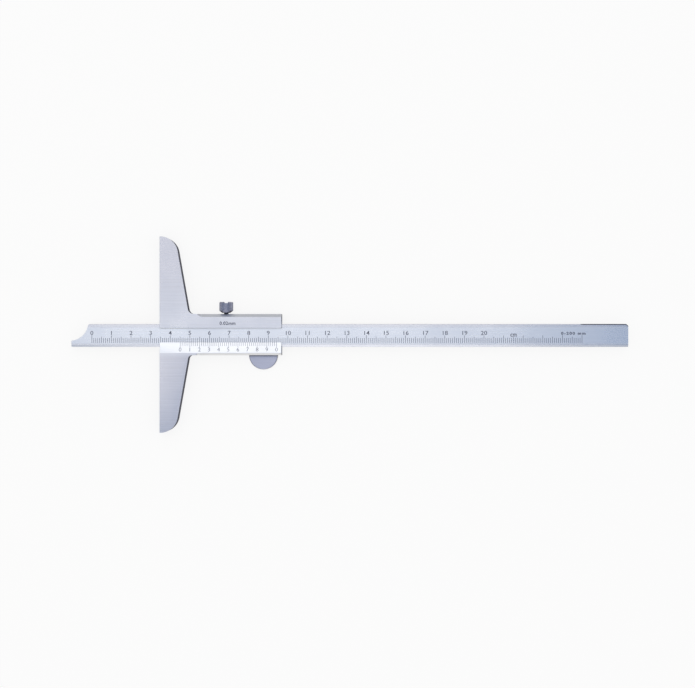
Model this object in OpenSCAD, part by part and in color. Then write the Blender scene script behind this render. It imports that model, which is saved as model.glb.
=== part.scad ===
// Vernier depth gauge, 0 to 200 mm, lying on its back.
// X runs back along the beam, Y along the measuring face and Z up out of the graduated face.
// The origin is the middle of the measuring face, on the plane of the back.

/* [Base] */
// Length of the measuring face
base_len = 100; // [80:5:150]
// Width that the taper would give a leg at its very end
leg_end_w = 7.85; // [6:0.05:12]
// Taper of a leg's outer edge, in degrees
leg_taper = 10; // [4:1:14]
// Radius of a leg's rounded end
leg_end_r = 9; // [4:0.5:9]
// Radius where the upper leg meets the slider
fillet_upper = 3; // [1:0.5:4]
// Radius where the lower leg meets the slider
fillet_lower = 2; // [1:0.5:4]

/* [Slider] */
// Length of the slider, from the measuring face
slider_len = 62; // [50:1:90]
// Wall behind the beam
back_wall = 1.8; // [1.4:0.05:3]
// Thickness of the two lips in front of the beam
lip_t = 1.5; // [1:0.05:3]
// Wall above the gib, which holds the screws
top_wall = 3.53; // [3:0.01:6]
// Wall below the beam, which holds the thumb tab
low_wall = 4.17; // [3.6:0.01:7]
// How far the upper lip laps over the beam
top_lap = 2.4; // [1.5:0.1:3.5]
// How far the vernier lip laps over the beam
low_lap = 2.35; // [1.5:0.05:3]
// Thickness of the vernier lip at its edge, where it meets the scale
vernier_edge = 0.35; // [0.2:0.05:0.6]
// Chamfer along the slider's upper front edge
top_chamfer = 1.6; // [0.5:0.1:2]
// Chamfer along the slider's lower front edge
low_chamfer = 1.1; // [0.5:0.1:1.5]
// Broken edge along the upper lip
lip_break = 0.35; // [0.1:0.05:0.5]

/* [Beam] */
// Length of the beam
beam_len = 284; // [270:1:330]
// Width of the beam
beam_w = 11.7; // [9:0.1:16]
// Thickness of the beam
beam_t = 3.6; // [2.8:0.1:5]
// Distance of the beam's lower edge below the base's centre line
beam_drop = 6.28; // [5:0.01:8]
// Depth shown, which is how far the tip stands out of the measuring face
depth = 45.2; // [0:0.02:200]
// Height of the narrow measuring tip
tip_h = 3.2; // [2:0.1:5]
// How far the middle of the tip's relief lies in front of the tip
relief_lead = 0.74; // [0.2:0.02:2]
// How far the middle of the tip's relief lies above the beam
relief_rise = 0.77; // [0.2:0.01:2]
// Round where the relief meets the beam's upper edge
relief_round = 1.2; // [0.4:0.1:2]
// Width of the raised guide strip along the upper edge
rail_top = 1.7; // [1:0.1:2.3]
// Width of the raised guide strip along the lower edge, its bevel included
rail_low = 1.6; // [1.4:0.1:2.2]
// Depth of the graduated face below the guide strips
face_sink = 0.08; // [0.04:0.01:0.2]
// Width of the bevel along the lower edge
bevel_w = 1.1; // [0.5:0.1:1.3]
// Depth of the bevel along the lower edge
bevel_t = 0.55; // [0.2:0.05:1]
// Broken edges of the beam
beam_break = 0.2; // [0.1:0.05:0.4]
// Chamfer on the upper corner of the beam's far end
end_chamfer = 1; // [0.5:0.1:2]

/* [Gib] */
// Thickness of the gib strip
gib_t = 1.3; // [0.8:0.1:2]
// Room left above the gib strip
gib_slack = 0.2; // [0.1:0.05:0.5]
// Gap between each end of the gib strip and the slider's end
gib_end_gap = 0.4; // [0.2:0.1:2]
// Depth of the dimples that the set screws hold
dimple_t = 0.4; // [0.2:0.05:0.6]
// Diameter of the gib's set screws
set_d = 2; // [1.6:0.1:2.5]
// Place of the first set screw, from the measuring face
set_near_x = 24; // [22:0.5:28]
// Place of the second set screw, from the slider's far end
set_far_in = 9; // [5:0.5:14]
// How far the set screws lie below the slider's upper edge
set_sunk = 0.6; // [0.2:0.1:1]

/* [Lock screw] */
// Place of the lock screw, from the measuring face
lock_x = 33.6; // [30:0.2:38]
// Diameter of the lock screw's thread
lock_d = 2.3; // [2:0.1:3]
// Bare neck between the slider and the head
lock_neck = 0.65; // [0.4:0.05:2]
// Diameter of the knurled head
head_d = 7; // [5.5:0.1:9]
// Height of the knurled head
head_h = 5.5; // [4:0.1:7]
// Width of the chamfer under the head
head_under_w = 1.4; // [0.5:0.1:1.5]
// Height of the chamfer under the head
head_under_h = 1.1; // [0.5:0.1:1.5]
// Broken upper edge of the head
head_break = 0.3; // [0.1:0.05:0.5]
// Grooves of the knurl round the head
knurl_count = 48; // [24:2:48]
// Depth of the knurl
knurl_t = 0.12; // [0.1:0.02:0.2]
// Width of the slot across the head
slot_w = 2.3; // [0.8:0.1:2.6]
// Depth of the slot across the head
slot_t = 0.6; // [0.4:0.1:1.5]
// Width of the countersink at the mouth of the lock screw's hole
lock_mouth = 0.7; // [0.2:0.1:1]

/* [Thumb tab] */
// Radius of the half-moon
tab_r = 7.4; // [6:0.1:9]
// Thickness of the tab
tab_t = 2; // [1.6:0.1:2.4]
// Place of the tab's middle, from the slider's far end
tab_in = 9.5; // [9:0.5:14]
// Wall left between the tab's seat and the guide
tab_wall = 0.87; // [0.6:0.01:1.2]
// Broken front edge of the tab
tab_break = 0.35; // [0.1:0.05:0.6]
// Diameter of the tab's screws
tab_screw_d = 2; // [1.6:0.1:2.2]
// Head diameter of the tab's screws
tab_head_d = 3.2; // [2.8:0.1:3.4]
// Length of the tab's screws
tab_screw_len = 4.2; // [3.2:0.1:4.6]
// Distance between the tab's screws
tab_pitch = 7; // [5:0.5:8]

/* [Fits] */
// Running clearance round the beam
run_gap = 0.05; // [0.02:0.01:0.1]
// Clearance round the screws and the thumb tab
fit_gap = 0.05; // [0.03:0.01:0.1]

/* [Hidden] */
$fn = 96;
// Overrun that carries a cut clear of the surface it starts from
over = 1;
half_len = base_len / 2;

// The guide, across the slider: beam, gib and the room above it
beam_y0 = -beam_drop;
beam_y1 = beam_y0 + beam_w;
guide_y0 = beam_y0 - run_gap;
gib_y0 = beam_y1 + run_gap;
gib_y1 = gib_y0 + gib_t;
guide_y1 = gib_y1 + gib_slack;
slider_y0 = guide_y0 - low_wall;
slider_y1 = guide_y1 + top_wall;

// The guide, from the back to the front
beam_z0 = back_wall + run_gap;
beam_z1 = beam_z0 + beam_t;
guide_z0 = back_wall;
guide_z1 = beam_z1 + run_gap;
mid_z = (guide_z0 + guide_z1) / 2;
body_t = guide_z1 + lip_t;

// The open window between the lips, and the crest of the vernier face
window_y0 = beam_y0 + low_lap;
window_y1 = beam_y1 - top_lap;
crest_y = slider_y0 + low_chamfer;

// Radius round which the cutter turns into each long chamfer, and where that starts
runout_r = 2;
runout_clear = 0.6;

// The tip's relief is an arc that leaves the tip at its height
relief_y = beam_w + relief_rise;
relief_r = norm([relief_lead, relief_y - tip_h]);

// Set screws, in the top wall
set_far_x = slider_len - set_far_in;
set_tip_h = dimple_t;
set_y0 = gib_y1 - dimple_t + fit_gap;
set_slot_w = 0.4;
set_slot_t = 0.7;

// Thumb tab and its screws, in the low wall
tab_x = slider_len - tab_in;
tab_tongue = low_wall - tab_wall;
tab_screw_y = slider_y0 + tab_tongue / 2;
tab_slot_w = 0.45;
tab_slot_t = 0.4;
tab_rim_t = 0.2;
tab_screw_sunk = 0.1;
tab_hole_spare = 0.3;

// Distance of a leg's tapered edge from the measuring face, at height y
function leg_w(y) = leg_end_w + tan(leg_taper) * (half_len - y);

// A point on the other side of the base's centre line
function mirror_y(point) = [point.x, -point.y];

// Stretches a Y and Z outline along X, from x0 to x1
module along_x(x0, x1) {
    translate([x0, 0, 0]) rotate([90, 0, 90]) linear_extrude(x1 - x0) children();
}

// The middle and the touching points of the concave corner between a leg and the edge at height y
function fillet_middle(y, r) = [leg_w(y + r) + r / cos(leg_taper), y + r];
function fillet_on_edge(y, r) = [fillet_middle(y, r).x, y];
function fillet_on_leg(y, r) = fillet_middle(y, r) - r * [cos(leg_taper), sin(leg_taper)];

// The middle of a leg's round end, and where the round leaves the leg's taper
function end_middle() = [leg_w(half_len - leg_end_r) - leg_end_r / cos(leg_taper), half_len - leg_end_r];
function end_on_leg() = end_middle() + leg_end_r * [cos(leg_taper), sin(leg_taper)];

// What the round end takes away from a leg's outer corner
module leg_end_cut() {
    difference() {
        polygon([
            end_on_leg(), [leg_w(half_len) + over, half_len + over], end_middle() + [0, leg_end_r]
        ]);
        translate(end_middle()) circle(leg_end_r);
    }
}

// The base and the slider seen from the front
module base_outline() {
    difference() {
        polygon([
            [0, -half_len], [leg_w(half_len), -half_len], mirror_y(end_on_leg()),
            mirror_y(fillet_on_leg(-slider_y0, fillet_lower)),
            mirror_y(fillet_on_edge(-slider_y0, fillet_lower)),
            [slider_len, slider_y0], [slider_len, slider_y1],
            fillet_on_edge(slider_y1, fillet_upper), fillet_on_leg(slider_y1, fillet_upper),
            end_on_leg(), [leg_w(half_len), half_len], [0, half_len]
        ]);
        leg_end_cut();
        mirror([0, 1]) leg_end_cut();
        translate(fillet_middle(slider_y1, fillet_upper)) circle(fillet_upper);
        translate(mirror_y(fillet_middle(-slider_y0, fillet_lower))) circle(fillet_lower);
    }
}

// The guide with its window, and the slope of the vernier face
module guide_outline() {
    translate([guide_y0, guide_z0]) square([guide_y1 - guide_y0, guide_z1 - guide_z0]);
    polygon([
        [window_y0, mid_z], [window_y0, guide_z1 + vernier_edge],
        [crest_y, body_t], [crest_y, body_t + over],
        [window_y1 + lip_break, body_t + over], [window_y1 + lip_break, body_t],
        [window_y1, body_t - lip_break], [window_y1, mid_z]
    ]);
}

// A long chamfer of size c on the edge at height y, which ends in the cutter's round run-out
module long_chamfer(y, c, r) {
    start_x = leg_w(y) + r + runout_r + c + runout_clear;
    along_x(start_x, slider_len + over) polygon([
        [y - c - over, body_t + over], [y + over, body_t - c - over], [y + over, body_t + over]
    ]);
    translate([start_x, y + runout_r, body_t - c - over])
        cylinder(h = c + 2 * over, r1 = runout_r - over, r2 = runout_r + c + over);
}

// A threaded hole through the top wall at x, with a countersunk mouth
module top_hole(x, d, mouth) {
    translate([x, guide_y1 - over, mid_z]) rotate([-90, 0, 0]) {
        cylinder(h = top_wall + 2 * over, d = d);
        translate([0, 0, over + top_wall - mouth])
            cylinder(h = mouth + over, r1 = d / 2, r2 = d / 2 + mouth + over);
    }
}

// The thumb tab's outline: a disc on the slider's lower edge, cut straight where it ends in its seat
module tab_outline(gap) {
    intersection() {
        translate([tab_x, slider_y0]) circle(tab_r + gap);
        translate([tab_x - tab_r - over, slider_y0 - tab_r - over])
            square([2 * (tab_r + over), tab_r + over + tab_tongue + gap]);
    }
}

// A countersunk screw pointing up out of the back, or with a gap the space that it needs
module tab_screw_form(gap, len) {
    r = tab_screw_d / 2 + gap;
    head_r = tab_head_d / 2 + gap;
    cone_top = tab_rim_t + head_r - r;
    rotate_extrude() polygon([
        [0, 0], [head_r, 0], [head_r, tab_rim_t], [r, cone_top], [r, len], [0, len]
    ]);
}

module at_tab_screws() {
    for (side = [-1, 1]) translate([tab_x + side * tab_pitch / 2, tab_screw_y, 0]) children();
}

module base_frame() {
    color([0.80, 0.81, 0.85]) difference() {
        linear_extrude(body_t) base_outline();
        along_x(-over, slider_len + over) guide_outline();
        long_chamfer(slider_y1, top_chamfer, fillet_upper);
        mirror([0, 1, 0]) long_chamfer(-slider_y0, low_chamfer, fillet_lower);
        top_hole(lock_x, lock_d + 2 * fit_gap, lock_mouth);
        for (x = [set_near_x, set_far_x]) top_hole(x, set_d + 2 * fit_gap, 0.2);
        translate([0, 0, -over]) linear_extrude(tab_t + fit_gap + over) tab_outline(fit_gap);
        at_tab_screws()
            cylinder(h = tab_screw_sunk + tab_screw_len + tab_hole_spare, d = tab_screw_d + 2 * fit_gap);
    }
}

// The beam across its width: guide strips, sunk graduated face and lower bevel
module beam_section() {
    face_z = beam_t - face_sink;
    polygon([
        [beam_break, 0], [0, beam_break], [0, beam_t - bevel_t], [bevel_w, beam_t],
        [rail_low - face_sink, beam_t], [rail_low, face_z],
        [beam_w - rail_top, face_z], [beam_w - rail_top + face_sink, beam_t],
        [beam_w - beam_break, beam_t], [beam_w, beam_t - beam_break],
        [beam_w, beam_break], [beam_w - beam_break, 0]
    ]);
}

// What the tip's relief takes away, seen from the front
module relief_outline() {
    round_y = beam_w - relief_round;
    reach = relief_r + relief_round;
    round_x = sqrt(pow(reach, 2) - pow(relief_y - round_y, 2)) - relief_lead;
    touch = [
        (round_x + relief_lead) * relief_r / reach - relief_lead,
        relief_y + (round_y - relief_y) * relief_r / reach
    ];
    translate([-relief_lead, relief_y]) circle(relief_r);
    difference() {
        polygon([
            [touch.x - over, touch.y], touch, [round_x, round_y],
            [round_x, beam_w + over], [touch.x - over, beam_w + over]
        ]);
        translate([round_x, round_y]) circle(relief_round);
    }
}

module beam() {
    color([0.84, 0.86, 0.91]) translate([-depth, beam_y0, beam_z0]) difference() {
        along_x(0, beam_len) beam_section();
        translate([0, 0, -over]) linear_extrude(beam_t + 2 * over) {
            relief_outline();
            polygon([
                [beam_len - end_chamfer - over, beam_w + over], [beam_len + over, beam_w + over],
                [beam_len + over, beam_w - end_chamfer - over]
            ]);
        }
    }
}

module gib_strip() {
    color([0.72, 0.60, 0.36]) difference() {
        translate([gib_end_gap, gib_y0, beam_z0])
            cube([slider_len - 2 * gib_end_gap, gib_t, beam_t]);
        for (x = [set_near_x, set_far_x]) translate([x, gib_y1 - dimple_t, mid_z])
            rotate([-90, 0, 0]) cylinder(h = dimple_t + over, r1 = set_d / 2 - set_tip_h + fit_gap,
                r2 = set_d / 2 + over + fit_gap);
    }
}

// A slotted set screw with a chamfered point, standing on its point
module set_screw(len) {
    r = set_d / 2;
    difference() {
        rotate_extrude() polygon([[0, 0], [r - set_tip_h, 0], [r, set_tip_h], [r, len], [0, len]]);
        translate([-set_slot_w / 2, -r - over, len - set_slot_t])
            cube([set_slot_w, 2 * (r + over), set_slot_t + over]);
    }
}

module gib_screws() {
    color([0.45, 0.45, 0.49]) for (x = [set_near_x, set_far_x]) translate([x, set_y0, mid_z])
        rotate([-90, 0, 0]) set_screw(slider_y1 - set_sunk - set_y0);
}

// The knurled head seen along its axis
module knurl_outline() {
    difference() {
        circle(head_d / 2);
        for (i = [0 : knurl_count - 1]) rotate((i + 0.5) * 360 / knurl_count)
            translate([head_d / 2, 0]) rotate(45) square(knurl_t * sqrt(2), center = true);
    }
}

module lock_screw() {
    tip_y = gib_y1 + fit_gap;
    shank_len = slider_y1 + lock_neck - tip_y;
    r = lock_d / 2;
    head_r = head_d / 2;
    color([0.42, 0.42, 0.48]) translate([lock_x, tip_y, mid_z]) rotate([-90, 0, 0]) {
        rotate_extrude() polygon([
            [0, 0], [r - 0.3, 0], [r, 0.3], [r, shank_len + over], [0, shank_len + over]
        ]);
        translate([0, 0, shank_len]) difference() {
            intersection() {
                rotate_extrude() polygon([
                    [0, 0], [head_r - head_under_w, 0], [head_r, head_under_h],
                    [head_r, head_h - head_break], [head_r - head_break, head_h], [0, head_h]
                ]);
                linear_extrude(head_h) knurl_outline();
            }
            translate([-slot_w / 2, -head_r - over, head_h - slot_t])
                cube([slot_w, head_d + 2 * over, slot_t + over]);
        }
    }
}

module thumb_tab() {
    color([0.68, 0.69, 0.76]) difference() {
        intersection() {
            linear_extrude(tab_t) tab_outline(0);
            translate([tab_x, slider_y0, 0]) {
                cylinder(h = tab_t - tab_break, r = tab_r + over);
                translate([0, 0, tab_t - tab_break])
                    cylinder(h = tab_break, r1 = tab_r, r2 = tab_r - tab_break);
            }
        }
        at_tab_screws() {
            translate([0, 0, tab_screw_sunk]) tab_screw_form(fit_gap, tab_t + over);
            translate([0, 0, -over]) cylinder(h = over + tab_screw_sunk, d = tab_head_d + 2 * fit_gap);
        }
    }
}

module tab_screws() {
    color([0.50, 0.50, 0.54]) at_tab_screws() translate([0, 0, tab_screw_sunk]) difference() {
        tab_screw_form(0, tab_screw_len);
        translate([-tab_head_d, -tab_slot_w / 2, -over])
            cube([2 * tab_head_d, tab_slot_w, over + tab_slot_t]);
    }
}

base_frame();
beam();
gib_strip();
gib_screws();
lock_screw();
thumb_tab();
tab_screws();
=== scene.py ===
import math

import bmesh
import bpy
from mathutils import Matrix, Vector


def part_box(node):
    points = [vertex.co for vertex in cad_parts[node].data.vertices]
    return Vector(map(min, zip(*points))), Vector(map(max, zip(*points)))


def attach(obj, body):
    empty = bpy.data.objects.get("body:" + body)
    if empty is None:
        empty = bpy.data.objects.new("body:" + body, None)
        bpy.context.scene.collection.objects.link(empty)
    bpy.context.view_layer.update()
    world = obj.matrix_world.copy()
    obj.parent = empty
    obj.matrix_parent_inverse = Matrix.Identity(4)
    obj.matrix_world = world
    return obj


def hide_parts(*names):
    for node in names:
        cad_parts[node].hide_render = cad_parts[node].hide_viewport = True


# Vernier depth gauge lying on its back, seen from straight above
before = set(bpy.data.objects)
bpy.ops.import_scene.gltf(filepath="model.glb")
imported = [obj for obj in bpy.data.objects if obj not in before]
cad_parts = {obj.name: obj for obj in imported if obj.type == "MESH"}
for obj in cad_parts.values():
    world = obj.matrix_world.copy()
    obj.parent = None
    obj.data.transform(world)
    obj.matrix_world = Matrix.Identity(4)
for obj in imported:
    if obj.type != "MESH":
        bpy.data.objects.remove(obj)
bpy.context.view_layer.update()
mm = 0.001
print("frame loaded:", ", ".join(sorted(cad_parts)))


# Camera, straight above the middle of the picture
camera = {
    "x": 95.6,  # millimetres, as the part
    "y": -4.8,
    "frontPlane": 7.0,
    "distance": 600.0,  # above the front plane
    "widthSeen": 353.5,  # across the picture, on the front plane
    "sensor": 36.0,
    "clip": (0.01, 50.0),  # metres, nearest and farthest
}


def addCamera(values):
    lens = bpy.data.cameras.new("camera")
    lens.sensor_width = values["sensor"]
    lens.lens = values["sensor"] * values["distance"] / values["widthSeen"]
    lens.clip_start, lens.clip_end = values["clip"]
    holder = bpy.data.objects.new("camera", lens)
    holder.location = (
        values["x"] * mm, values["y"] * mm, (values["frontPlane"] + values["distance"]) * mm
    )
    bpy.context.scene.collection.objects.link(holder)
    bpy.context.scene.camera = holder


addCamera(camera)
bpy.context.scene.view_settings.view_transform = "Standard"
print("camera placed")


# Node helpers
def addNode(tree, kind, **settings):
    made = tree.nodes.new(kind)
    for name, value in settings.items():
        setattr(made, name, value)
    return made


def setInputs(node, **values):
    for name, value in values.items():
        node.inputs[name].default_value = value


# A socket takes a plain value, or follows another node's output
def feed(tree, socket, value):
    if isinstance(value, bpy.types.NodeSocket):
        tree.links.new(value, socket)
    else:
        socket.default_value = value


def addMath(tree, operation, first, second):
    made = addNode(tree, "ShaderNodeMath", operation=operation)
    for socket, value in zip(made.inputs, (first, second)):
        feed(tree, socket, value)
    return made.outputs[0]


def addRange(tree, value, fromLow, fromHigh, toLow, toHigh):
    made = addNode(tree, "ShaderNodeMapRange")
    tree.links.new(value, made.inputs["Value"])
    for name, number in (
        ("From Min", fromLow), ("From Max", fromHigh), ("To Min", toLow), ("To Max", toHigh)
    ):
        feed(tree, made.inputs[name], number)
    return made.outputs["Result"]


def addMix(tree, factor, first, second, blend="MIX"):
    made = addNode(tree, "ShaderNodeMix", data_type="RGBA", blend_type=blend)
    tree.links.new(factor, made.inputs["Factor"])
    for name, value in (("A", first), ("B", second)):
        socket = next(s for s in made.inputs if s.name == name and s.type == "RGBA")
        feed(tree, socket, (*value, 1) if isinstance(value, tuple) else value)
    return next(s for s in made.outputs if s.type == "RGBA")


def newGroup(name, inputs, outputs):
    group = bpy.data.node_groups.new(name, "ShaderNodeTree")
    kind = "NodeSocketFloat"
    for label, start in inputs.items():
        group.interface.new_socket(label, in_out="INPUT", socket_type=kind).default_value = start
    for label in outputs:
        group.interface.new_socket(label, in_out="OUTPUT", socket_type=kind)
    return group, group.nodes.new("NodeGroupInput"), group.nodes.new("NodeGroupOutput")


# Where each pattern starts and is full, as the nodes measure it
spans = {
    "lines": (0.3, 0.7),
    "cloud": (0.3, 0.7),
    "linesAndCloud": (0.7, 1.3),
    "worn": (0.99, 0.8),  # how far the rounded normal still faces along the real one
    "patches": (0.35, 0.65),
    "paintedShade": (0.92, 0.55),  # how open a corner is
    "filling": (0.35, 0.7),
}
leastWear = 0.35  # between the patches


# Lines that a grinding wheel leaves, long along X and fine across it
def makeGrainGroup():
    group, given, result = newGroup(
        "grindingLines", {"Along": 30.0, "Across": 1500.0, "Cloud": 60.0}, ("Lines", "Cloud")
    )
    place = addNode(group, "ShaderNodeTexCoord")
    stretch = addNode(group, "ShaderNodeCombineXYZ")
    mapping = addNode(group, "ShaderNodeMapping")
    lines = addNode(group, "ShaderNodeTexNoise")
    setInputs(lines, Scale=1, Detail=5, Roughness=0.62)
    cloud = addNode(group, "ShaderNodeTexNoise")
    setInputs(cloud, Detail=4, Roughness=0.55)
    links = group.links
    links.new(given.outputs["Along"], stretch.inputs["X"])
    links.new(given.outputs["Across"], stretch.inputs["Y"])
    links.new(given.outputs["Across"], stretch.inputs["Z"])
    links.new(place.outputs["Object"], mapping.inputs["Vector"])
    links.new(stretch.outputs["Vector"], mapping.inputs["Scale"])
    links.new(mapping.outputs["Vector"], lines.inputs["Vector"])
    links.new(place.outputs["Object"], cloud.inputs["Vector"])
    links.new(given.outputs["Cloud"], cloud.inputs["Scale"])
    links.new(lines.outputs["Fac"], result.inputs["Lines"])
    links.new(cloud.outputs["Fac"], result.inputs["Cloud"])
    return group


# Bright wear along edges, broken up so that it isn't an even outline
def makeEdgeGroup():
    group, given, result = newGroup("edgeWear", {"Radius": 0.0003, "Patches": 900.0}, ("Mask",))
    rounded = addNode(group, "ShaderNodeBevel", samples=4)
    surface = addNode(group, "ShaderNodeNewGeometry")
    facing = addNode(group, "ShaderNodeVectorMath", operation="DOT_PRODUCT")
    place = addNode(group, "ShaderNodeTexCoord")
    patches = addNode(group, "ShaderNodeTexNoise")
    setInputs(patches, Detail=3)
    links = group.links
    links.new(given.outputs["Radius"], rounded.inputs["Radius"])
    links.new(rounded.outputs["Normal"], facing.inputs[0])
    links.new(surface.outputs["Normal"], facing.inputs[1])
    links.new(place.outputs["Object"], patches.inputs["Vector"])
    links.new(given.outputs["Patches"], patches.inputs["Scale"])
    edge = addRange(group, facing.outputs["Value"], *spans["worn"], 0, 1)
    broken = addRange(group, patches.outputs["Fac"], *spans["patches"], leastWear, 1)
    links.new(addMath(group, "MULTIPLY", edge, broken), result.inputs["Mask"])
    return group


# Painted shade: the colour darkens where two faces meet, the more the closer the corner
def makeGrimeGroup():
    group, given, result = newGroup("paintedCornerShade", {"Reach": 0.0012, "Amount": 0.7}, ("Mask",))
    corner = addNode(group, "ShaderNodeAmbientOcclusion", samples=6)
    group.links.new(given.outputs["Reach"], corner.inputs["Distance"])
    closed = addRange(group, corner.outputs["AO"], *spans["paintedShade"], 0, 1)
    amount = addMath(group, "MULTIPLY", closed, given.outputs["Amount"])
    group.links.new(amount, result.inputs["Mask"])
    return group


# How far a place lies past a line across the gauge, from Start to End along a direction
def makeBandGroup():
    group, given, result = newGroup(
        "pastLine", {"AlongX": 0.0, "AlongY": 1.0, "Start": 0.0, "End": 0.001}, ("Mask",)
    )
    place = addNode(group, "ShaderNodeTexCoord")
    direction = addNode(group, "ShaderNodeCombineXYZ")
    travel = addNode(group, "ShaderNodeVectorMath", operation="DOT_PRODUCT")
    group.links.new(given.outputs["AlongX"], direction.inputs["X"])
    group.links.new(given.outputs["AlongY"], direction.inputs["Y"])
    group.links.new(place.outputs["Object"], travel.inputs[0])
    group.links.new(direction.outputs["Vector"], travel.inputs[1])
    past = addRange(
        group, travel.outputs["Value"], given.outputs["Start"], given.outputs["End"], 0, 1
    )
    group.links.new(past, result.inputs["Mask"])
    return group


grindingLines = makeGrainGroup()
edgeWear = makeEdgeGroup()
pastLine = makeBandGroup()
paintedCornerShade = makeGrimeGroup()


def useGroup(tree, group, **values):
    made = addNode(tree, "ShaderNodeGroup")
    made.node_tree = group
    setInputs(made, **values)
    return made.outputs


# Places that a finish picks out, in metres: each mask rises from Start to End along Y, unless
# AlongX and AlongY give another direction
picked = {
    "belowUpperLeg": {"Start": 0.032, "End": 0.010},
    "aboveLowerLeg": {"Start": -0.012, "End": -0.009},
    "farEnd": {"AlongX": 1, "AlongY": 0, "Start": 0.2140, "End": 0.2152},
    "upperEdge": {"Start": 0.00492, "End": 0.00502},
    "farCorner": {"AlongX": 1, "AlongY": 1, "Start": 0.24265, "End": 0.24285},
    "underHead": {"Start": 0.01125, "End": 0.01115},
}
# Near-black colour of the painted shade in corners
paintedShadeColour = (0.04, 0.04, 0.06)
paintedShadeReach = 0.0012  # metres, where a finish gives no reach of its own


def pick(tree, place):
    return useGroup(tree, pastLine, **picked[place])["Mask"]


# Steel and bronze finishes: colours are linear, roughness low and high, bump and wear in metres
def makeMetal(name, finish):
    material = bpy.data.materials.new(name)
    material.use_nodes = True
    tree = material.node_tree
    shader = tree.nodes["Principled BSDF"]
    setInputs(shader, Metallic=1)
    grain = useGroup(tree, grindingLines, Along=finish["along"], Across=finish["across"])
    wear = useGroup(tree, edgeWear, Radius=finish["wearWidth"])
    lines = addRange(tree, grain["Lines"], *spans["lines"], 0, 1)
    colour = addMix(tree, lines, finish["dark"], finish["light"])
    colour = addMix(tree, wear["Mask"], colour, finish["worn"])
    # Painted light: the colour is lighter over the slider's lips and fades out up the upper leg
    if "slider" in finish:
        lips = addMath(tree, "MINIMUM", pick(tree, "belowUpperLeg"), pick(tree, "aboveLowerLeg"))
        colour = addMix(tree, lips, colour, finish["slider"], "MULTIPLY")
    # Painted reflection: a dark line along the beam's upper edge near its far end, and on its far
    # corner
    if "darkFarEdgeReflection" in finish:
        along = addMath(tree, "MULTIPLY", pick(tree, "farEnd"), pick(tree, "upperEdge"))
        edge = addMath(tree, "MAXIMUM", along, pick(tree, "farCorner"))
        colour = addMix(tree, edge, colour, finish["darkFarEdgeReflection"])
    # Painted shade: the lock screw's neck under its head is drawn near black
    if "neck" in finish:
        colour = addMix(tree, pick(tree, "underHead"), colour, finish["neck"])
    # Painted shade: the colour darkens in corners and hollows
    if "paintedShade" in finish:
        reach = finish.get("reach", paintedShadeReach)
        paintedShade = useGroup(tree, paintedCornerShade, Amount=finish["paintedShade"], Reach=reach)
        colour = addMix(tree, paintedShade["Mask"], colour, paintedShadeColour)
    tree.links.new(colour, shader.inputs["Base Color"])
    tint = finish.get("edgeTint", 1)  # how bright the metal stays at a glancing angle
    shader.inputs["Specular Tint"].default_value = (tint, tint, tint, 1)
    spread = addMath(tree, "ADD", grain["Cloud"], grain["Lines"])
    roughness = addRange(tree, spread, *spans["linesAndCloud"], *finish["roughness"])
    tree.links.new(roughness, shader.inputs["Roughness"])
    bump = addNode(tree, "ShaderNodeBump")
    setInputs(bump, Strength=finish["bumpStrength"], Distance=finish["bumpHeight"])
    tree.links.new(grain["Lines"], bump.inputs["Height"])
    tree.links.new(bump.outputs["Normal"], shader.inputs["Normal"])
    return material


# Finishes that give a strength for their corners get painted shade there
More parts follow.
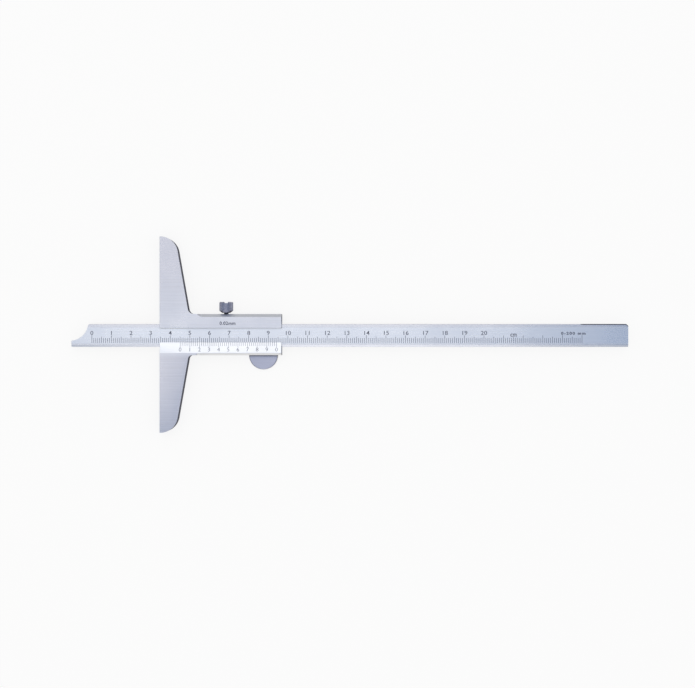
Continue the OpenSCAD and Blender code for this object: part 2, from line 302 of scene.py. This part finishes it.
finishes = {
    "groundSteel": {
        "light": (0.70, 0.665, 0.665), "dark": (0.62, 0.585, 0.585),
        "worn": (0.88, 0.87, 0.87), "roughness": (0.24, 0.36), "along": 25, "across": 1300,
        "bumpStrength": 0.25, "bumpHeight": 0.00002, "wearWidth": 0.0003,
        "slider": (1.13, 1.14, 1.12),  # painted light: lighter over the slider's lips, fading out up the upper leg
    },
    "chamferSteel": {
        "light": (0.66, 0.655, 0.675), "dark": (0.57, 0.565, 0.585),
        "worn": (0.86, 0.85, 0.85), "roughness": (0.40, 0.54), "along": 35, "across": 1000,
        "bumpStrength": 0.25, "bumpHeight": 0.00002, "wearWidth": 0.0003,
    },
    # Sides: a darker copy of the steel, painted shade for the dark surroundings that the walls
    # mirror
    "paintedShadeSide": {
        "light": (0.33, 0.33, 0.38), "dark": (0.25, 0.25, 0.295), "edgeTint": 0.2, "paintedShade": 0.6,
        "worn": (0.6, 0.6, 0.6), "roughness": (0.34, 0.48), "along": 40, "across": 900,
        "bumpStrength": 0.25, "bumpHeight": 0.00002, "wearWidth": 0.0002,
    },
    # Satin steel of the vernier face, lighter than the ground steel: partly its finish, partly a
    # painted highlight for the light its slope catches
    "vernierSteel": {
        "light": (0.94, 0.91, 0.88), "dark": (0.89, 0.86, 0.83),
        "worn": (0.93, 0.92, 0.92), "roughness": (0.30, 0.40), "along": 60, "across": 2500,
        "bumpStrength": 0.15, "bumpHeight": 0.00001, "wearWidth": 0.0002,
    },
    "beamFace": {
        "light": (0.825, 0.805, 0.79), "dark": (0.785, 0.765, 0.75),
        "worn": (0.88, 0.88, 0.88), "roughness": (0.24, 0.33), "along": 30, "across": 2000,
        "bumpStrength": 0.08, "bumpHeight": 0.00001, "wearWidth": 0.0002,
    },
    "beamSteel": {
        "light": (0.77, 0.735, 0.72), "dark": (0.71, 0.675, 0.66),
        "worn": (0.88, 0.87, 0.87), "roughness": (0.22, 0.30), "along": 20, "across": 1500,
        "bumpStrength": 0.1, "bumpHeight": 0.00002, "wearWidth": 0.0002,
        "darkFarEdgeReflection": (0.05, 0.055, 0.08),  # painted dark reflection along the upper edge near the far end
    },
    "tabSteel": {
        "light": (0.60, 0.575, 0.62), "dark": (0.53, 0.505, 0.55), "paintedShade": 0.8,
        "worn": (0.66, 0.65, 0.68), "roughness": (0.3, 0.42), "along": 60, "across": 1200,
        "bumpStrength": 0.25, "bumpHeight": 0.00002, "wearWidth": 0.0003,
    },
    "lockScrewSteel": {
        "light": (0.62, 0.60, 0.67), "dark": (0.50, 0.48, 0.55), "edgeTint": 0.1, "paintedShade": 0.8,
        "reach": 0.00025, "worn": (0.66, 0.65, 0.70), "roughness": (0.40, 0.50), "along": 700,
        "across": 700, "bumpStrength": 0.2, "bumpHeight": 0.00002, "wearWidth": 0.00015,
        "neck": (0.05, 0.05, 0.06),  # painted shade: the neck below the head drawn near black
    },
    # Thread: a dark copy of the screw's steel, painted shade under the head
    "threadShadeSteel": {
        "light": (0.22, 0.22, 0.25), "dark": (0.14, 0.14, 0.16), "edgeTint": 0.2,
        "worn": (0.34, 0.34, 0.38), "roughness": (0.3, 0.42), "along": 700, "across": 700,
        "bumpStrength": 0.2, "bumpHeight": 0.00002, "wearWidth": 0.00005,
    },
    "smallScrewSteel": {
        "light": (0.36, 0.35, 0.38), "dark": (0.28, 0.27, 0.30), "edgeTint": 0.5, "paintedShade": 0.6,
        "worn": (0.60, 0.60, 0.62), "roughness": (0.3, 0.45), "along": 900, "across": 900,
        "bumpStrength": 0.2, "bumpHeight": 0.00001, "wearWidth": 0.0001,
    },
    "gibBronze": {
        "light": (0.68, 0.47, 0.23), "dark": (0.52, 0.34, 0.16),
        "worn": (0.80, 0.60, 0.34), "roughness": (0.3, 0.45), "along": 60, "across": 1800,
        "bumpStrength": 0.2, "bumpHeight": 0.00001, "wearWidth": 0.0002,
    },
}
metals = {name: makeMetal(name, finish) for name, finish in finishes.items()}


# Black filling of the engraved marks, a little worn
filling = {
    "deep": (0.035, 0.04, 0.07), "pale": (0.09, 0.10, 0.15), "roughness": (0.45, 0.65),
    "along": 900, "across": 2600, "cloud": 500,
}


def makeFilling(name, finish):
    material = bpy.data.materials.new(name)
    material.use_nodes = True
    tree = material.node_tree
    shader = tree.nodes["Principled BSDF"]
    grain = useGroup(
        tree, grindingLines, Along=finish["along"], Across=finish["across"], Cloud=finish["cloud"]
    )
    lines = addRange(tree, grain["Lines"], *spans["filling"], 0, 1)
    colour = addMix(tree, lines, finish["deep"], finish["pale"])
    roughness = addRange(tree, grain["Cloud"], *spans["cloud"], *finish["roughness"])
    tree.links.new(colour, shader.inputs["Base Color"])
    tree.links.new(roughness, shader.inputs["Roughness"])
    return material


scaleFilling = makeFilling("scaleFilling", filling)
print("materials made:", len(bpy.data.materials))


# A piece from a finished bmesh, riding on a body and taking a finish
def makePiece(name, bm, body, materials):
    mesh = bpy.data.meshes.new(name)
    bm.to_mesh(mesh)
    bm.free()
    for material in materials:
        mesh.materials.append(material)
    piece = bpy.data.objects.new(name, mesh)
    bpy.context.scene.collection.objects.link(piece)
    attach(piece, body)
    return piece


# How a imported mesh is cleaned, and how its edges are broken
edgeWork = {
    "doubled": 2e-7,  # metres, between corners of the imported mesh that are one
    "flat": math.radians(0.4),  # faces closer to flat than this become one
    "sharp": math.radians(25),  # only sharper edges are broken
    "segments": 4,
    "bevelDoubled": 2e-6,  # metres, between corners that a bevel leaves doubled
    "narrow": 0.2 * mm,  # the faces of a broken edge are narrower
    "flatWeight": 50,  # how far the wide faces decide the shading beside them
}


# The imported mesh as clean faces, with its sharp edges broken outside the places kept crisp
def brokenEdges(node, width, crisp):
    def isCrisp(edge):
        middle = (edge.verts[0].co + edge.verts[1].co) / 2 / mm
        return any(
            lowX < middle.x < highX and lowY < middle.y < highY
            for lowX, highX, lowY, highY in crisp
        )

    bm = bmesh.new()
    bm.from_mesh(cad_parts[node].data)
    bmesh.ops.remove_doubles(bm, verts=bm.verts, dist=edgeWork["doubled"])
    bmesh.ops.dissolve_limit(
        bm, angle_limit=edgeWork["flat"], verts=bm.verts, edges=bm.edges, delimit={"NORMAL"}
    )
    sharp = [
        edge for edge in bm.edges
        if len(edge.link_faces) == 2 and edge.calc_face_angle_signed() > edgeWork["sharp"]
        and not isCrisp(edge)
    ]
    bmesh.ops.bevel(
        bm, geom=sharp, offset=width * mm, offset_type="OFFSET", segments=edgeWork["segments"],
        profile=0.5, affect="EDGES", clamp_overlap=False, material=-1
    )
    bmesh.ops.remove_doubles(bm, verts=bm.verts, dist=edgeWork["bevelDoubled"])
    return bm


# Smooth over the broken edges, while each large face keeps its own flat shading
def smoothAcross(piece):
    def isWide(face):
        return 2 * face.calc_area() / face.calc_perimeter() > edgeWork["narrow"]

    mesh = piece.data
    bm = bmesh.new()
    bm.from_mesh(mesh)
    for face in bm.faces:
        face.smooth = True
    for edge in bm.edges:
        first, second = edge.link_faces
        finishesDiffer = first.material_index != second.material_index
        crease = finishesDiffer and isWide(first) and isWide(second)
        edge.smooth = edge.calc_face_angle() < edgeWork["sharp"] and not crease
    bm.to_mesh(mesh)
    bm.free()
    if "custom_normal" in mesh.attributes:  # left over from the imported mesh
        mesh.attributes.remove(mesh.attributes["custom_normal"])
    flat = piece.modifiers.new("flat faces", "WEIGHTED_NORMAL")
    flat.weight = edgeWork["flatWeight"]
    flat.keep_sharp = True


# Base and slider: one piece of ground steel with the vernier face cut into it
base = {
    "broken": 0.1,
    "crisp": (  # X from and to, Y from and to: the chamfers' ends and the lock screw's hole
        (17.5, 22, 9, 12), (17.5, 22, -12, -9), (31, 36.2, 9, 12),
    ),
    "windowReach": 4.5,  # from the middle line to the window's sides, bright like the lips
    "vernierTilt": (0.15, 0.27),  # of the face's normal towards Y
    "chamferTilt": (0.6, 0.8),  # of the face's normal towards Z
    "squareOn": 0.9,  # a normal's part along an axis that the face looks along
}
wallLimit = 0.3  # of the normal towards Z: a face with less is a side


def buildBase(values):
    bm = brokenEdges("base_frame", values["broken"], values["crisp"])
    low, high = values["vernierTilt"]
    shallow, steep = values["chamferTilt"]
    for face in bm.faces:
        inWindow = abs(face.calc_center_median().y) < values["windowReach"] * mm
        windowSide = inWindow and abs(face.normal.y) > values["squareOn"]
        # Sides take the darker steel as painted shade; the window's sides stay bright
        if abs(face.normal.z) < wallLimit and not windowSide:
            face.material_index = 1
        elif low < face.normal.y < high and face.normal.z > values["squareOn"]:
            face.material_index = 2
        elif shallow < face.normal.z < steep:
            face.material_index = 2 if face.normal.y < -shallow else 3  # chamfers facing down Y take the vernier's lighter steel: painted highlight
        else:
            face.material_index = 0
    finish = ("groundSteel", "paintedShadeSide", "vernierSteel", "chamferSteel")
    piece = makePiece("baseFrame", bm, "frame", [metals[name] for name in finish])
    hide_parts("base_frame")
    smoothAcross(piece)


buildBase(base)
print("base built")


# Beam: ground strips on each side of a satin graduated face
beam = {
    "broken": 0.08,
    "crisp": (  # the small corner beside the tip's hollow, and the steps and crease of the scale
        (-37.3, -35.5, 3.4, 6), (-46, 240, -5.3, -4.6), (-46, 240, 3.65, 3.85),
    ),
    "faceSink": 0.08,
    "cuts": (-44.0, -34.0, 236.5),  # X, where the shading of the ends and the corner stops
    "facingFront": 0.99,  # the graduated face's normal towards Z, at the least
    "evenWithin": 0.00001,  # metres, of its height
}
beamLow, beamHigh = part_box("beam")


def buildBeam(values):
    bm = brokenEdges("beam", values["broken"], values["crisp"])
    for x in values["cuts"]:
        everything = [*bm.verts, *bm.edges, *bm.faces]
        bmesh.ops.bisect_plane(bm, geom=everything, plane_co=(x * mm, 0, 0), plane_no=(1, 0, 0))
    faceZ = beamHigh.z - values["faceSink"] * mm
    for face in bm.faces:
        height = face.calc_center_median().z
        even = abs(height - faceZ) < values["evenWithin"]
        graduated = face.normal.z > values["facingFront"] and even
        # Sides take the darker steel as painted shade
        side = abs(face.normal.z) < wallLimit and height < faceZ  # not the small step beside it
        face.material_index = 2 if graduated else 1 if side else 0
    piece = makePiece(
        "beam_rule", bm, "rule",
        [metals["beamSteel"], metals["paintedShadeSide"], metals["beamFace"]]
    )
    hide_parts("beam")
    smoothAcross(piece)


buildBeam(beam)
print("beam built")


# Thumb tab: only its half-moon outside the slider has broken edges
tab = {"broken": 0.15, "crisp": ((40, 65, -10.45, 0),)}


def buildTab(values):
    bm = brokenEdges("thumb_tab", values["broken"], values["crisp"])
    piece = makePiece("thumbTab", bm, "frame", [metals["tabSteel"]])
    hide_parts("thumb_tab")
    smoothAcross(piece)


buildTab(tab)

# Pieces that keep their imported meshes
for node, metal in (
    ("gib_strip", "gibBronze"),
    ("gib_screws", "smallScrewSteel"),
    ("tab_screws", "smallScrewSteel"),
    ("lock_screw", "lockScrewSteel"),
):
    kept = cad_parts[node].data
    kept.materials.clear()
    kept.materials.append(metals[metal])
print("tab and small pieces finished")


# Fine thread on the lock screw, seen on its neck
thread = {
    "pitch": 0.4,
    "root": 1.12,  # radius
    "crest": 0.06,  # above the root
    "halfWidth": 0.4,  # of the pitch
    "turns": 10,
    "stepsInTurn": 24,
    "start": 0.25,  # from the shank's end
}


def buildThread(values):
    low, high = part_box("lock_screw")
    axis = Vector(((low.x + high.x) / 2, low.y, (low.z + high.z) / 2))
    bm = bmesh.new()
    root = values["root"] * mm
    crest = (values["root"] + values["crest"]) * mm
    half = values["pitch"] * mm * values["halfWidth"]
    corners = [bm.verts.new(p) for p in ((root, 0, -half), (crest, 0, 0), (root, 0, half))]
    profile = bm.faces.new(corners)
    steps = values["turns"] * values["stepsInTurn"]
    bmesh.ops.spin(
        bm, geom=[profile, *profile.edges, *corners], cent=(0, 0, 0), axis=(0, 0, 1),
        dvec=(0, 0, values["pitch"] * mm / values["stepsInTurn"]),
        angle=math.tau * values["turns"], steps=steps
    )
    bmesh.ops.recalc_face_normals(bm, faces=bm.faces)
    start = Matrix.Translation(axis + Vector((0, values["start"] * mm, 0)))
    upright = Matrix.Rotation(-math.pi / 2, 4, "X")
    bmesh.ops.transform(bm, matrix=start @ upright, verts=bm.verts)
    makePiece("lockThread", bm, "clamp", [metals["threadShadeSteel"]])


buildThread(thread)


# Marks and numbers, each a thin filled stroke that stands a hair proud of its face
def addMark(bm, x, top, bottom, width, thickness):
    place = Matrix.Translation((x, (top + bottom) / 2, 0))
    size = Matrix.Diagonal((width, top - bottom, thickness, 1))
    bmesh.ops.create_cube(bm, size=1, matrix=place @ size)


def addLettering(bm, text, x, middle, height, thickness, bold=0.0, wide=1.0, spacing=1.0):
    curve = bpy.data.curves.new("lettering", "FONT")
    curve.body = text
    curve.align_x = "CENTER"
    curve.resolution_u = 3  # steps in each curve of a letter
    curve.extrude = 0.5  # to each side, so 1 thick before it is scaled
    curve.offset = bold
    curve.space_character = spacing
    holder = bpy.data.objects.new("lettering", curve)
    bpy.context.scene.collection.objects.link(holder)
    bpy.context.view_layer.update()
    seen = holder.evaluated_get(bpy.context.evaluated_depsgraph_get())
    mesh = bpy.data.meshes.new_from_object(seen)
    low = min(v.co.y for v in mesh.vertices)
    high = max(v.co.y for v in mesh.vertices)
    size = height / (high - low)
    place = Matrix.Translation((x, middle - size * (low + high) / 2, 0))
    mesh.transform(place @ Matrix.Diagonal((size * wide, size, thickness, 1)))
    bm.from_mesh(mesh)
    bpy.data.objects.remove(holder)
    bpy.data.curves.remove(curve)
    bpy.data.meshes.remove(mesh)


def finishMarks(bm, plane):
    bmesh.ops.scale(bm, vec=(mm, mm, mm), verts=bm.verts)
    bmesh.ops.transform(bm, matrix=plane, verts=bm.verts)
    return bm


# Main scale: millimetres from the tip, numbered in centimetres
mainScale = {
    "zero": 10.4,  # first mark, from the tip
    "marks": 250,
    "bottom": -4.3,  # all in millimetres, from the base's middle line
    "tops": (-1.75, -1.1, -0.4),  # one, five and ten millimetres
    "width": 0.21,
    "numbers": 20,
    "numberMiddle": 0.85,
    "numberHeight": 2.1,
    "numberShape": (0.004, 1.12, 1.0),  # bold, wide, spacing
    "unitPlace": 225.5,
    "unitMiddle": -0.3,
    "unitHeight": 1.6,
    "unitShape": (0.015, 0.85, 1.05),
    "rangePlace": 256.0,
    "rangeMiddle": 0.65,
    "rangeHeight": 1.5,
    "rangeShape": (0.035, 1.25, 1.3),
    "thickness": 0.03,
}


def buildMainScale(values):
    plane = Matrix.Translation((beamLow.x, 0, beamHigh.z - beam["faceSink"] * mm))
    marks = bmesh.new()
    for step in range(values["marks"] + 1):
        kind = 2 if step % 10 == 0 else 1 if step % 5 == 0 else 0
        addMark(
            marks, values["zero"] + step, values["tops"][kind], values["bottom"],
            values["width"], values["thickness"]
        )
    makePiece("mainMarks", finishMarks(marks, plane), "rule", [scaleFilling])
    numbers = bmesh.new()
    for centimetre in range(values["numbers"] + 1):
        addLettering(
            numbers, str(centimetre), values["zero"] + 10 * centimetre, values["numberMiddle"],
            values["numberHeight"], values["thickness"], *values["numberShape"]
        )
    for word, part in (("cm", "unit"), ("0-200 mm", "range")):
        addLettering(
            numbers, word, values[part + "Place"], values[part + "Middle"],
            values[part + "Height"], values["thickness"], *values[part + "Shape"]
        )
    makePiece("mainNumbers", finishMarks(numbers, plane), "rule", [scaleFilling])


buildMainScale(mainScale)
print("main scale built")


# Vernier: 50 divisions over 49 millimetres, on the sloped face
vernier = {
    "zero": 10.4,  # from the measuring face
    "divisions": 50,
    "division": 0.98,
    "edge": (-3.93, 5.85),  # Y and Z of the sloped face's lower edge
    "crest": (-9.4, 7.0),  # and of its upper edge
    "top": -0.02,  # of the marks, down the slope from its lower edge
    "lengths": (1.9, 2.6),
    "width": 0.15,
    "numberMiddle": -3.75,
    "numberHeight": 2.0,
    "numberBold": -0.01,
    "thickness": 0.03,
}


def buildVernier(values):
    edgeY, edgeZ = values["edge"]
    crestY, crestZ = values["crest"]
    slope = math.atan2(crestZ - edgeZ, edgeY - crestY)
    plane = Matrix.Translation((0, edgeY * mm, edgeZ * mm)) @ Matrix.Rotation(-slope, 4, "X")
    marks = bmesh.new()
    numbers = bmesh.new()
    for step in range(values["divisions"] + 1):
        x = values["zero"] + step * values["division"]
        long = step % 5 == 0
        bottom = -values["lengths"][1 if long else 0]
        addMark(marks, x, values["top"], bottom, values["width"], values["thickness"])
        if long:
            addLettering(
                numbers, str(step // 5 % 10), x, values["numberMiddle"], values["numberHeight"],
                values["thickness"], values["numberBold"]
            )
    for name, bm in (("vernierMarks", marks), ("vernierNumbers", numbers)):
        makePiece(name, finishMarks(bm, plane), "frame", [scaleFilling])


buildVernier(vernier)

# Smallest reading, on the upper lip
reading = {
    "text": "0.02mm",
    "x": 34.6,
    "middle": 5.75,
    "front": 7.0,  # Z of the lip
    "height": 1.8,
    "thickness": 0.03,
    "shape": (0.022, 0.98, 1.08),  # bold, wide, spacing
}


def buildReading(values):
    plane = Matrix.Translation((0, 0, values["front"] * mm))
    bm = bmesh.new()
    addLettering(
        bm, values["text"], values["x"], values["middle"], values["height"],
        values["thickness"], *values["shape"]
    )
    makePiece("readingValue", finishMarks(bm, plane), "frame", [scaleFilling])


buildReading(reading)
print("vernier built")


# Floor, pale and plain; the camera sees it mostly white, with a faint shadow of the gauge
floor = {
    "size": 12.0,  # metres
    "drop": 0.00002,  # below the gauge's back
    "pale": (0.80, 0.805, 0.815),
    "roughness": 0.9,
    "white": 0.86,  # share of plain white that the camera sees
    "mirrored": 0.2,  # and that the steel mirrors
}


# The camera's own rays, and those that polished steel sends on
def addRays(tree):
    light = addNode(tree, "ShaderNodeLightPath")
    mirrored = addMath(
        tree, "MAXIMUM", light.outputs["Is Glossy Ray"], light.outputs["Is Transmission Ray"]
    )
    return light.outputs["Is Camera Ray"], mirrored


def buildFloor(values):
    bm = bmesh.new()
    bmesh.ops.create_grid(
        bm, x_segments=1, y_segments=1, size=values["size"] / 2,
        matrix=Matrix.Translation((0, 0, -values["drop"]))
    )
    mesh = bpy.data.meshes.new("floor")
    bm.to_mesh(mesh)
    bm.free()
    material = bpy.data.materials.new("floorPaper")
    material.use_nodes = True
    tree = material.node_tree
    shader = tree.nodes["Principled BSDF"]
    shader.inputs["Base Color"].default_value = (*values["pale"], 1)
    shader.inputs["Roughness"].default_value = values["roughness"]
    shader.inputs["Specular IOR Level"].default_value = 0
    direct, mirrored = addRays(tree)
    seen = addMath(
        tree, "MAXIMUM", addMath(tree, "MULTIPLY", direct, values["white"]),
        addMath(tree, "MULTIPLY", mirrored, values["mirrored"])
    )
    white = addNode(tree, "ShaderNodeEmission")
    both = addNode(tree, "ShaderNodeMixShader")
    tree.links.new(seen, both.inputs["Fac"])
    tree.links.new(shader.outputs[0], both.inputs[1])
    tree.links.new(white.outputs[0], both.inputs[2])
    tree.links.new(both.outputs[0], tree.nodes["Material Output"].inputs["Surface"])
    mesh.materials.append(material)
    plane = bpy.data.objects.new("floor", mesh)
    bpy.context.scene.collection.objects.link(plane)


buildFloor(floor)


# Light: a pale room with darker screens at its two ends, and four soft lamps
room = {
    "strength": 0.80,  # of the light on the gauge
    "horizon": (0.74, 0.79, 0.84),  # what the steel mirrors, from here on
    "ceiling": (0.30, 0.41, 0.63),
    "screens": (0.22, 0.235, 0.27),  # towards both ends of the beam
    "rise": (0.2, 0.85),  # height at which the ceiling starts and is full
    "turn": (0.45, 0.8),  # the same for the screens, towards X
}
lamps = {  # place, aim and size in metres
    "overheadBox": {
        "place": (-0.10, 0.085, 1.7), "aim": (-0.10, 0.085, 0), "size": (1.18, 0.43),
        "strength": 0.83, "colour": (1, 0.955, 0.855),
    },
    "slopeBox": {
        "place": (-0.25, 0.85, 1.7), "aim": (-0.25, 0.85, 0), "size": (1.5, 0.9),
        "strength": 1.06, "colour": (1, 0.95, 0.84),
    },
    "keyLamp": {
        "place": (-0.2, 1.3, 0.8), "aim": (0.05, 0, 0), "size": (2.2, 0.9),
        "strength": 0.2, "colour": (1, 1, 1),
    },
    "fillLamp": {
        "place": (0.065, -0.96, 0.72), "aim": (0.06, 0, 0), "size": (0.63, 0.35),
        "strength": 0.8, "colour": (1, 1, 1),
    },
}


def makeWorld(values):
    world = bpy.data.worlds.new("room")
    bpy.context.scene.world = world
    world.use_nodes = True
    tree = world.node_tree
    tree.nodes.clear()
    direct, mirrored = addRays(tree)
    plain = addNode(tree, "ShaderNodeBackground")
    setInputs(plain, Color=(1, 1, 1, 1), Strength=values["strength"])
    place = addNode(tree, "ShaderNodeTexCoord")
    height = addNode(tree, "ShaderNodeSeparateXYZ")
    tree.links.new(place.outputs["Generated"], height.inputs["Vector"])
    shiny = addNode(tree, "ShaderNodeBackground")
    up = addRange(tree, height.outputs["Z"], *values["rise"], 0, 1)
    sideways = addMath(tree, "ABSOLUTE", height.outputs["X"], 0)
    end = addRange(tree, sideways, *values["turn"], 0, 1)
    around = addMix(tree, end, values["horizon"], values["screens"])
    tree.links.new(addMix(tree, up, around, values["ceiling"]), shiny.inputs["Color"])
    white = addNode(tree, "ShaderNodeBackground")
    setInputs(white, Color=(1, 1, 1, 1))
    first = addNode(tree, "ShaderNodeMixShader")
    second = addNode(tree, "ShaderNodeMixShader")
    output = addNode(tree, "ShaderNodeOutputWorld")
    tree.links.new(mirrored, first.inputs["Fac"])
    tree.links.new(plain.outputs[0], first.inputs[1])
    tree.links.new(shiny.outputs[0], first.inputs[2])
    tree.links.new(direct, second.inputs["Fac"])
    tree.links.new(first.outputs[0], second.inputs[1])
    tree.links.new(white.outputs[0], second.inputs[2])
    tree.links.new(second.outputs[0], output.inputs["Surface"])


def addLamp(name, values):
    place, aim = Vector(values["place"]), Vector(values["aim"])
    lamp = bpy.data.lights.new(name, "AREA")
    lamp.shape = "RECTANGLE"
    width, height = values["size"]
    lamp.size, lamp.size_y = width, height
    lamp.energy = values["strength"] * math.pi * width * height
    lamp.color = values["colour"]
    holder = bpy.data.objects.new(name, lamp)
    holder.location = place
    holder.rotation_mode = "QUATERNION"
    holder.rotation_quaternion = (aim - place).to_track_quat("-Z", "Y")
    bpy.context.scene.collection.objects.link(holder)


makeWorld(room)
for name, values in lamps.items():
    addLamp(name, values)
print("floor and lights placed")
